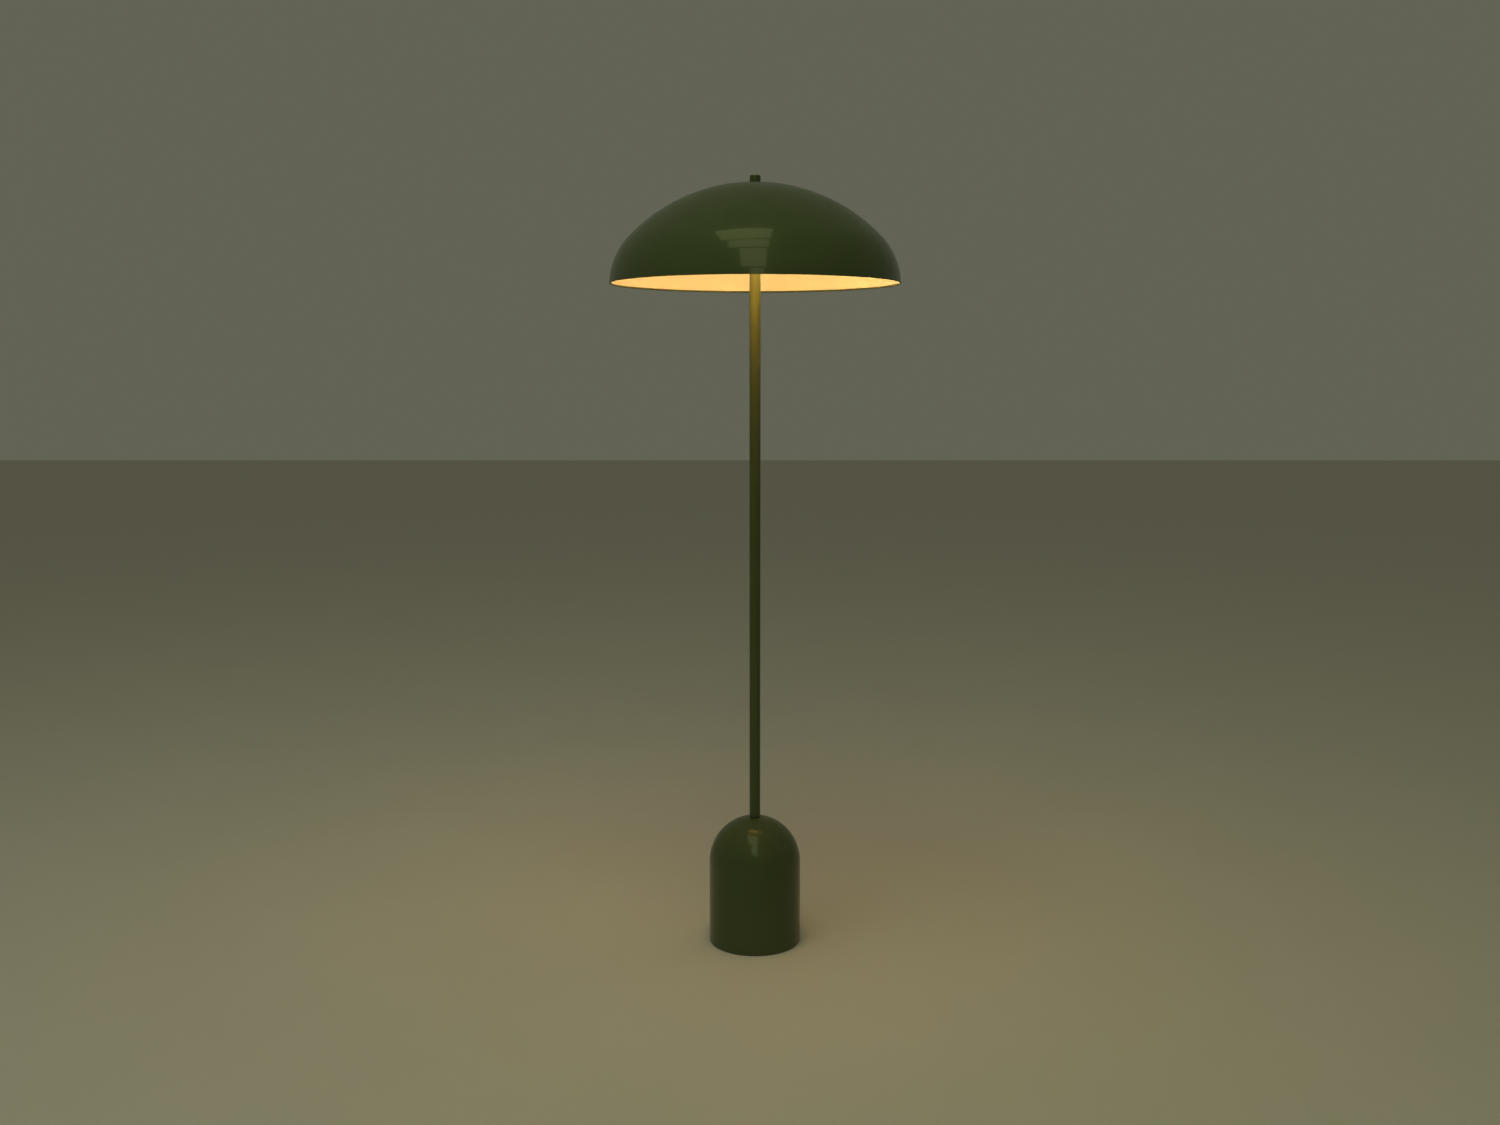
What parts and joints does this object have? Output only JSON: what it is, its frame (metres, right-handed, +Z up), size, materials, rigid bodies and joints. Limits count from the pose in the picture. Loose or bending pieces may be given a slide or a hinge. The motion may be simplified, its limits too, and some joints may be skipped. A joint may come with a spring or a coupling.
{
  "type": "floor lamp",
  "caption": "Dome floor lamp: wide shallow metal shade over a side-mounted screw-cap bulb, on a straight jointed column with a round-topped weighted base.",
  "frame": {"origin": "on the floor, at the foot of the column's axis", "axes": "+Z up the column; -Y is the front, the side opposite the cable gland; +X is to the right seen from the front, the side the bulb hangs on"},
  "size_m": [0.4997, 0.4998, 1.3564],
  "materials": {
    "green_enamel": "glossy olive-green powder coat",
    "white_enamel": "satin white coat inside the shade",
    "zinc_steel": "bright zinc plate",
    "cast_iron": "black primer over sand casting",
    "black_rubber": "matt",
    "black_plastic": "satin",
    "white_plastic": "satin",
    "lead_sheath": "satin flexible sheath",
    "brass": "bright turned",
    "porcelain": "glazed",
    "black_glass": "gloss",
    "nickel": "bright",
    "opal_glass": "opal, lit"
  },
  "bodies": {
    "stand": {"arm_collar": "green_enamel", "base_plate": "zinc_steel", "base_plate_screw_1": "zinc_steel", "base_plate_screw_2": "zinc_steel", "base_plate_screw_3": "zinc_steel", "base_shell": "green_enamel", "base_stem": "zinc_steel", "base_weight": "cast_iron", "cable_gland": "black_plastic", "cluster_body": "green_enamel", "cluster_cap": "green_enamel", "cluster_nipple": "zinc_steel", "column_gasket": "black_rubber", "column_joint_nipple": "zinc_steel", "dome_washer": "zinc_steel", "earth_screw": "brass", "foot_pad": "black_rubber", "gland_nut": "black_plastic", "inner_lead": "lead_sheath", "lamp_arm": "green_enamel", "lampholder_cap": "black_plastic", "lampholder_insert": "porcelain", "lampholder_ring": "black_plastic", "lampholder_skirt": "black_plastic", "lampholder_terminal_1": "brass", "lampholder_terminal_2": "brass", "lampholder_thread_shell": "brass", "lampholder_tongue": "brass", "lower_column": "green_enamel", "lower_column_foot_insert": "zinc_steel", "lower_column_head_insert": "zinc_steel", "shade_gasket": "black_rubber", "shade_seat": "green_enamel", "shade_stem": "zinc_steel", "spacer_tube": "zinc_steel", "stem_nut": "zinc_steel", "stem_washer": "zinc_steel", "terminal_block": "white_plastic", "terminal_screw_1": "brass", "terminal_screw_2": "brass", "terminal_screw_3": "brass", "upper_column": "green_enamel", "upper_column_foot_insert": "zinc_steel", "upper_column_head_insert": "zinc_steel"},
    "shade": {"shade_shell": "green_enamel", "shade_white_lining": "white_enamel"},
    "finial_slide": {"finial_washer": "green_enamel"},
    "finial": {"finial_knob": "green_enamel"},
    "bulb_slide": {"bulb_contact": "brass"},
    "bulb": {"bulb_cap": "nickel", "bulb_collar": "white_plastic", "bulb_globe": "opal_glass", "bulb_insulator": "black_glass"}
  },
  "joints": [
    {"name": "shade_swivel", "type": "hinge", "parent": "stand", "child": "shade", "pos_m": [0, 0, 1.3], "axis": [0, 0, 1], "continuous": true},
    {"name": "finial_rise", "type": "slide", "parent": "stand", "child": "finial_slide", "axis": [0, 0, 1], "range_m": [0, 0.00701]},
    {"name": "finial_turn", "type": "hinge", "parent": "finial_slide", "child": "finial", "pos_m": [0, 0, 1.35], "axis": [0, 0, 1], "range_deg": [0, 2520]},
    {"name": "bulb_drop", "type": "slide", "parent": "stand", "child": "bulb_slide", "axis": [0, 0, -1], "range_m": [0, 0.0109]},
    {"name": "bulb_turn", "type": "hinge", "parent": "bulb_slide", "child": "bulb", "pos_m": [0.0344, 0.02409, 1.22], "axis": [0, 0, -1], "range_deg": [0, 1080]}
  ],
  "couplings": [
    {"joint": "finial_rise", "follows": "finial_turn", "m_per_rad": 0.00015915},
    {"joint": "bulb_drop", "follows": "bulb_turn", "m_per_rad": 0.00057757}
  ]
}
